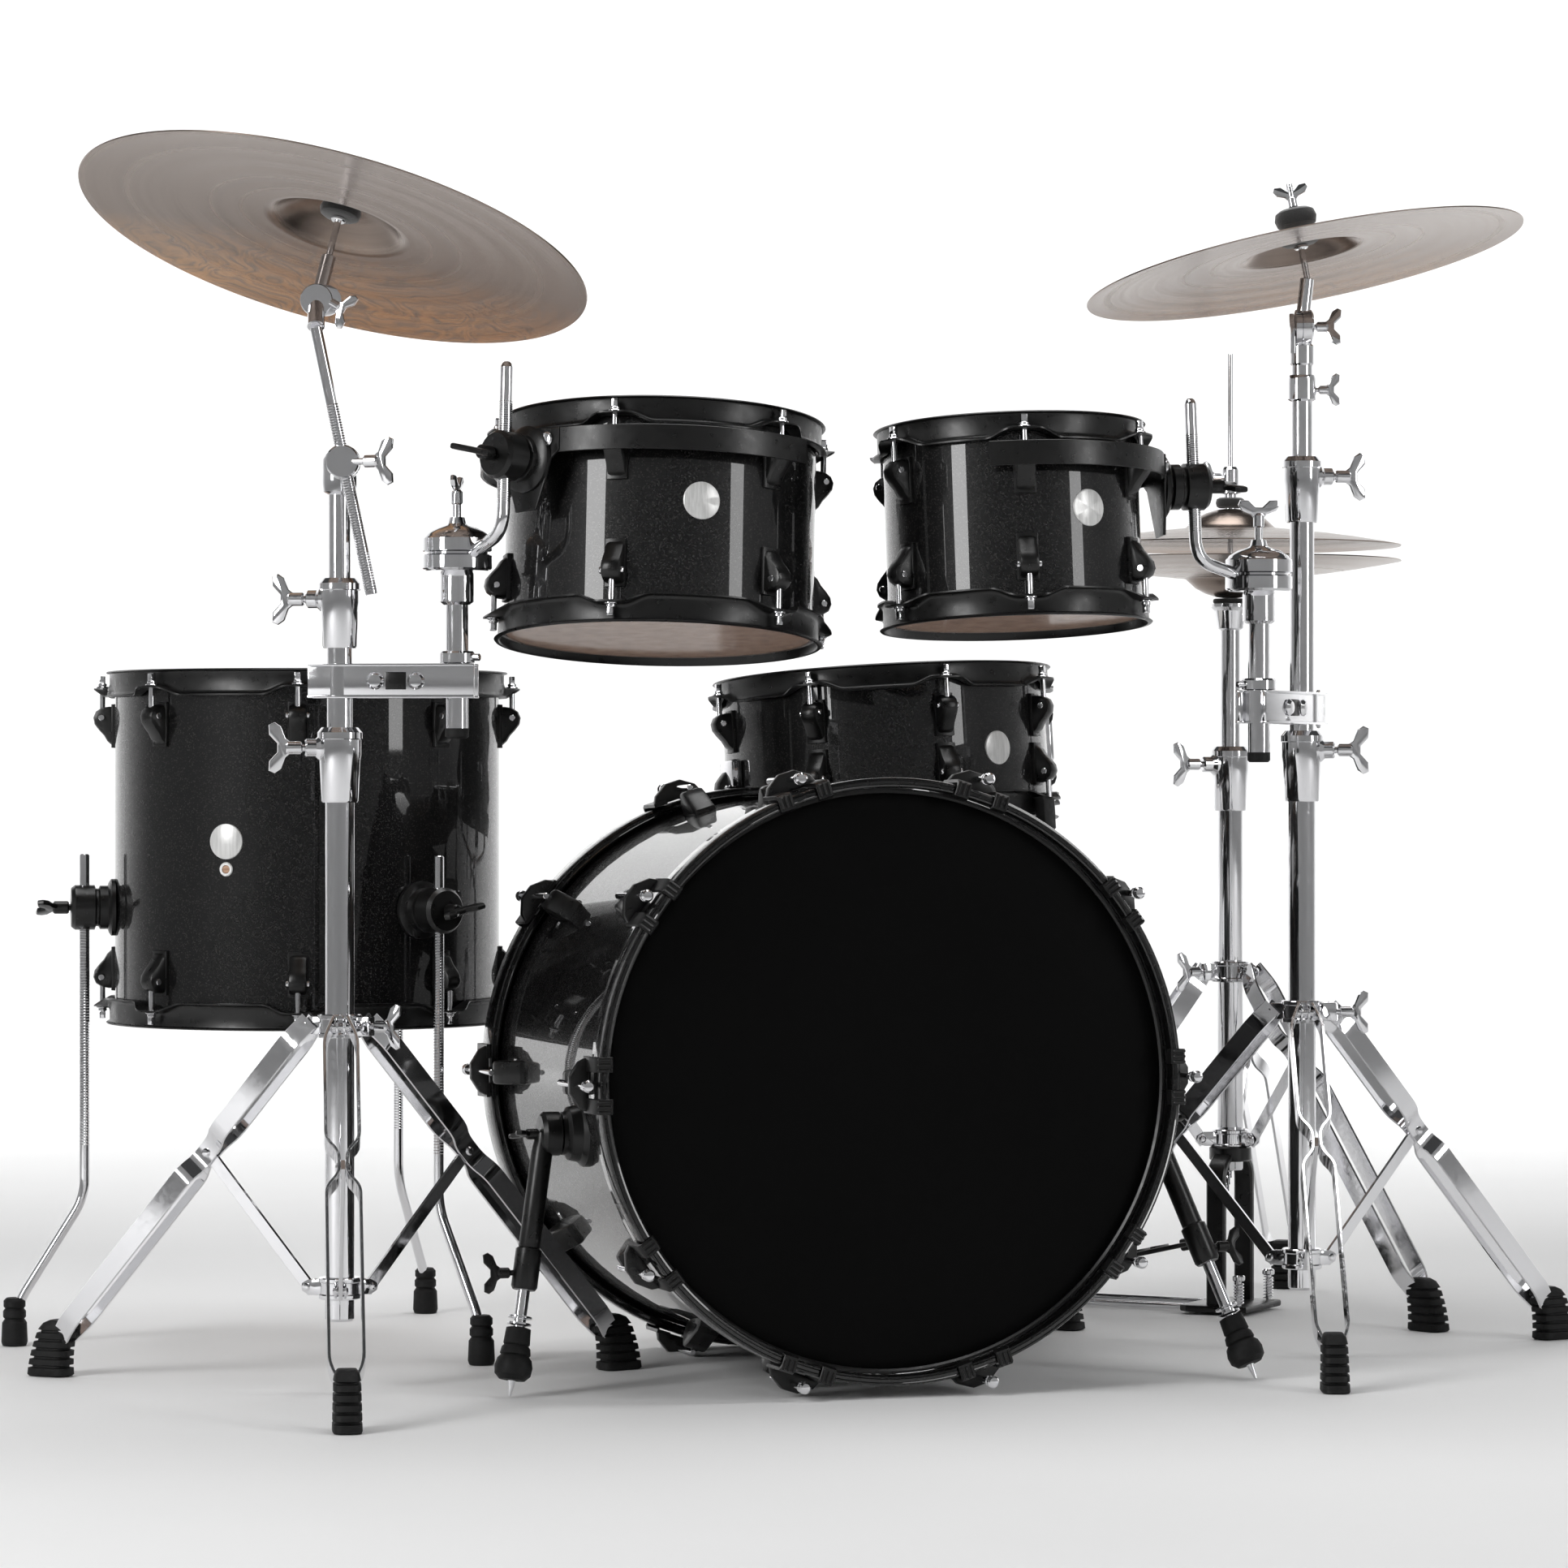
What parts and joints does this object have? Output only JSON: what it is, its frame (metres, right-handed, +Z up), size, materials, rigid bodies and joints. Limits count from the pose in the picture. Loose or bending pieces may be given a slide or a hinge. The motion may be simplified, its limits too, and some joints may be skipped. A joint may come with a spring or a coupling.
{
  "type": "acoustic drum kit",
  "caption": "Black acoustic drum kit with bass drum, floor tom, rack toms, snare, folding cymbal stands and a hi-hat with its pedal.",
  "frame": {"origin": "on the floor, under the middle of the kit's box", "axes": "+X to the audience's right, +Y from the audience towards the drummer, +Z up"},
  "size_m": [1.6677, 1.4311, 1.2125],
  "materials": {
    "black_sparkle": "deep gloss lacquer over a fine dark metal flake",
    "black_lacquer": "gloss black lacquer",
    "black_skin": "satin black drum head",
    "clear_skin": "clear drum head, so the wood inside shows",
    "chrome": "bright plated steel",
    "black_metal": "satin black paint and plating",
    "bronze": "lathed and polished cymbal bronze"
  },
  "bodies": {
    "kit_frame": {"bass_front_head": "black_skin", "bass_front_hoop": "black_lacquer", "bass_rear_head": "black_skin", "bass_rear_hoop": "black_lacquer", "bass_shell": "black_sparkle", "floor_tom_batter_head": "clear_skin", "floor_tom_bottom_hoop": "black_metal", "floor_tom_resonant_head": "clear_skin", "floor_tom_shell": "black_sparkle", "floor_tom_top_hoop": "black_metal", "hihat_bottom_cymbal": "bronze", "hihat_stand": "chrome", "left_base_tube": "chrome", "right_base_tube": "chrome", "snare_batter_head": "clear_skin", "snare_bottom_hoop": "black_metal", "snare_shell": "black_sparkle", "snare_stand": "chrome", "snare_top_hoop": "black_metal"},
    "floor_tom_leg_left": {"floor_tom_leg_left": "chrome"},
    "floor_tom_leg_right": {"floor_tom_leg_right": "chrome"},
    "floor_tom_leg_rear": {"floor_tom_leg_rear": "chrome"},
    "bass_spur_left": {"bass_spur_left": "black_metal"},
    "left_tom": {"left_tom_shell": "black_sparkle", "left_tom_top_hoop": "black_metal", "left_tom_bottom_hoop": "black_metal", "left_tom_batter_head": "clear_skin", "left_tom_resonant_head": "clear_skin"},
    "left_tom_holder": {"left_tom_holder": "chrome"},
    "left_tom_l_rod": {"left_tom_l_rod": "chrome"},
    "left_upper_tube": {"left_upper_tube": "chrome"},
    "left_leg_collar": {"left_leg_collar": "chrome"},
    "left_leg_front": {"left_leg_front": "chrome"},
    "left_brace_front": {"left_brace_front": "chrome"},
    "left_leg_right": {"left_leg_right": "chrome"},
    "left_brace_right": {"left_brace_right": "chrome"},
    "left_leg_left": {"left_leg_left": "chrome"},
    "left_brace_left": {"left_brace_left": "chrome"},
    "left_cymbal": {"left_cymbal": "bronze"},
    "bass_spur_right": {"bass_spur_right": "black_metal"},
    "right_tom": {"right_tom_shell": "black_sparkle", "right_tom_top_hoop": "black_metal", "right_tom_bottom_hoop": "black_metal", "right_tom_batter_head": "clear_skin", "right_tom_resonant_head": "clear_skin"},
    "right_tom_holder": {"right_tom_holder": "chrome"},
    "right_tom_l_rod": {"right_tom_l_rod": "chrome"},
    "right_upper_tube": {"right_upper_tube": "chrome"},
    "right_leg_collar": {"right_leg_collar": "chrome"},
    "right_leg_front": {"right_leg_front": "chrome"},
    "right_brace_front": {"right_brace_front": "chrome"},
    "right_leg_right": {"right_leg_right": "chrome"},
    "right_brace_right": {"right_brace_right": "chrome"},
    "right_leg_left": {"right_leg_left": "chrome"},
    "right_brace_left": {"right_brace_left": "chrome"},
    "right_cymbal": {"right_cymbal": "bronze"},
    "left_boom_arm": {"left_boom_arm": "chrome"},
    "right_tilter": {"right_tilter": "chrome"},
    "hihat_top_cymbal": {"hihat_top_cymbal": "bronze"},
    "hihat_pedal": {"hihat_pedal": "chrome"}
  },
  "joints": [
    {"name": "left_tripod_collar", "type": "slide", "parent": "kit_frame", "child": "left_leg_collar", "axis": [0, 0, 1], "range_m": [0, 0.08]},
    {"name": "left_leg_front_fold", "type": "hinge", "parent": "left_leg_collar", "child": "left_leg_front", "pos_m": [-0.4395, -0.39986, 0.355], "axis": [0.9945, 0.1045, 0], "range_deg": [0, 31.6]},
    {"name": "left_brace_front_fold", "type": "hinge", "parent": "kit_frame", "child": "left_brace_front", "pos_m": [-0.4395, -0.39986, 0.1], "axis": [-0.9945, -0.1045, 0], "range_deg": [0, 31.6]},
    {"name": "left_leg_right_fold", "type": "hinge", "parent": "left_leg_collar", "child": "left_leg_right", "pos_m": [-0.41554, -0.34607, 0.355], "axis": [-0.5878, 0.809, 0], "range_deg": [0, 31.6]},
    {"name": "left_brace_right_fold", "type": "hinge", "parent": "kit_frame", "child": "left_brace_right", "pos_m": [-0.41554, -0.34607, 0.1], "axis": [0.5878, -0.809, 0], "range_deg": [0, 31.6]},
    {"name": "left_leg_left_fold", "type": "hinge", "parent": "left_leg_collar", "child": "left_leg_left", "pos_m": [-0.47411, -0.35222, 0.355], "axis": [-0.4067, -0.9135, 0], "range_deg": [0, 31.6]},
    {"name": "left_brace_left_fold", "type": "hinge", "parent": "kit_frame", "child": "left_brace_left", "pos_m": [-0.47411, -0.35222, 0.1], "axis": [0.4067, 0.9135, 0], "range_deg": [0, 31.6]},
    {"name": "left_stand_height", "type": "slide", "parent": "kit_frame", "child": "left_upper_tube", "axis": [0, 0, 1], "range_m": [-0.02, 0.12]},
    {"name": "left_tom_holder_height", "type": "slide", "parent": "left_upper_tube", "child": "left_tom_holder", "axis": [0, 0, 1], "range_m": [-0.03, 0.02]},
    {"name": "left_tom_tilt", "type": "hinge", "parent": "left_tom_holder", "child": "left_tom_l_rod", "pos_m": [-0.32845, -0.37605, 0.8137], "axis": [1, 0, 0], "range_deg": [-8, 8]},
    {"name": "left_tom_rod_slide", "type": "slide", "parent": "left_tom_l_rod", "child": "left_tom", "axis": [0.0173, 0.1132, 0.9934], "range_m": [-0.02, 0.02]},
    {"name": "left_boom_tilt", "type": "hinge", "parent": "left_upper_tube", "child": "left_boom_arm", "pos_m": [-0.43705, -0.39805, 0.901], "axis": [0, 1, 0], "range_deg": [-20, 5]},
    {"name": "left_cymbal_rock", "type": "hinge", "parent": "left_boom_arm", "child": "left_cymbal", "pos_m": [-0.44055, -0.35605, 1.1576], "axis": [0.974, 0, -0.2267], "range_deg": [-6, 6], "stiffness_Nm_per_rad": 14},
    {"name": "bass_spur_left_swing", "type": "hinge", "parent": "kit_frame", "child": "bass_spur_left", "pos_m": [-0.24402, -0.36982, 0.25002], "axis": [0.9613, 0.2756, 0], "range_deg": [0, 55]},
    {"name": "right_tripod_collar", "type": "slide", "parent": "kit_frame", "child": "right_leg_collar", "axis": [0, 0, 1], "range_m": [0, 0.08]},
    {"name": "right_leg_front_fold", "type": "hinge", "parent": "right_leg_collar", "child": "right_leg_front", "pos_m": [0.52395, -0.08005, 0.355], "axis": [1, 0, 0], "range_deg": [0, 31.6]},
    {"name": "right_brace_front_fold", "type": "hinge", "parent": "kit_frame", "child": "right_brace_front", "pos_m": [0.52395, -0.08005, 0.1], "axis": [-1, 0, 0], "range_deg": [0, 31.6]},
    {"name": "right_leg_right_fold", "type": "hinge", "parent": "right_leg_collar", "child": "right_leg_right", "pos_m": [0.55339, -0.02905, 0.355], "axis": [-0.5, 0.866, 0], "range_deg": [0, 31.6]},
    {"name": "right_brace_right_fold", "type": "hinge", "parent": "kit_frame", "child": "right_brace_right", "pos_m": [0.55339, -0.02905, 0.1], "axis": [0.5, -0.866, 0], "range_deg": [0, 31.6]},
    {"name": "right_leg_left_fold", "type": "hinge", "parent": "right_leg_collar", "child": "right_leg_left", "pos_m": [0.4945, -0.02905, 0.355], "axis": [-0.5, -0.866, 0], "range_deg": [0, 31.6]},
    {"name": "right_brace_left_fold", "type": "hinge", "parent": "kit_frame", "child": "right_brace_left", "pos_m": [0.4945, -0.02905, 0.1], "axis": [0.5, 0.866, 0], "range_deg": [0, 31.6]},
    {"name": "right_stand_height", "type": "slide", "parent": "kit_frame", "child": "right_upper_tube", "axis": [0, 0, 1], "range_m": [0, 0.12]},
    {"name": "right_tom_holder_height", "type": "slide", "parent": "right_upper_tube", "child": "right_tom_holder", "axis": [0, 0, 1], "range_m": [-0.03, 0.02]},
    {"name": "right_tom_tilt", "type": "hinge", "parent": "right_tom_holder", "child": "right_tom_l_rod", "pos_m": [0.46955, -0.15605, 0.802], "axis": [1, 0, 0], "range_deg": [-8, 8]},
    {"name": "right_tom_rod_slide", "type": "slide", "parent": "right_tom_l_rod", "child": "right_tom", "axis": [-0.0331, 0.0663, 0.9973], "range_m": [-0.02, 0.02]},
    {"name": "right_cymbal_tilt", "type": "hinge", "parent": "right_upper_tube", "child": "right_tilter", "pos_m": [0.52395, -0.04605, 1.062], "axis": [1, 0, 0], "range_deg": [-20, 8]},
    {"name": "right_cymbal_rock", "type": "hinge", "parent": "right_tilter", "child": "right_cymbal", "pos_m": [0.51985, -0.04255, 1.1639], "axis": [0.9839, 0, 0.1788], "range_deg": [-6, 6], "stiffness_Nm_per_rad": 14},
    {"name": "bass_spur_right_swing", "type": "hinge", "parent": "kit_frame", "child": "bass_spur_right", "pos_m": [0.35658, -0.1976, 0.25002], "axis": [0.9613, 0.2756, 0], "range_deg": [0, 55]},
    {"name": "floor_tom_leg_left_slide", "type": "slide", "parent": "kit_frame", "child": "floor_tom_leg_left", "axis": [0, 0, 1], "range_m": [0, 0.06]},
    {"name": "floor_tom_leg_right_slide", "type": "slide", "parent": "kit_frame", "child": "floor_tom_leg_right", "axis": [0, 0, 1], "range_m": [0, 0.06]},
    {"name": "floor_tom_leg_rear_slide", "type": "slide", "parent": "kit_frame", "child": "floor_tom_leg_rear", "axis": [0, 0, 1], "range_m": [0, 0.06]},
    {"name": "hihat_pedal_press", "type": "hinge", "parent": "kit_frame", "child": "hihat_pedal", "pos_m": [0.23947, 0.54107, 0.02], "axis": [0.454, 0.891, 0], "range_deg": [0, 11], "stiffness_Nm_per_rad": 10, "springref_deg": -25.78},
    {"name": "hihat_clutch_slide", "type": "slide", "parent": "kit_frame", "child": "hihat_top_cymbal", "axis": [0, 0, -1], "range_m": [0, 0.0142]}
  ],
  "couplings": [
    {"joint": "left_leg_front_fold", "follows": "left_tripod_collar", "rad_per_m": 6.8597},
    {"joint": "left_brace_front_fold", "follows": "left_tripod_collar", "rad_per_m": 6.8597},
    {"joint": "left_leg_right_fold", "follows": "left_tripod_collar", "rad_per_m": 6.8597},
    {"joint": "left_brace_right_fold", "follows": "left_tripod_collar", "rad_per_m": 6.8597},
    {"joint": "left_leg_left_fold", "follows": "left_tripod_collar", "rad_per_m": 6.8597},
    {"joint": "left_brace_left_fold", "follows": "left_tripod_collar", "rad_per_m": 6.8597},
    {"joint": "right_leg_front_fold", "follows": "right_tripod_collar", "rad_per_m": 6.8597},
    {"joint": "right_brace_front_fold", "follows": "right_tripod_collar", "rad_per_m": 6.8597},
    {"joint": "right_leg_right_fold", "follows": "right_tripod_collar", "rad_per_m": 6.8597},
    {"joint": "right_brace_right_fold", "follows": "right_tripod_collar", "rad_per_m": 6.8597},
    {"joint": "right_leg_left_fold", "follows": "right_tripod_collar", "rad_per_m": 6.8597},
    {"joint": "right_brace_left_fold", "follows": "right_tripod_collar", "rad_per_m": 6.8597},
    {"joint": "hihat_clutch_slide", "follows": "hihat_pedal_press", "m_per_rad": 0.072}
  ]
}
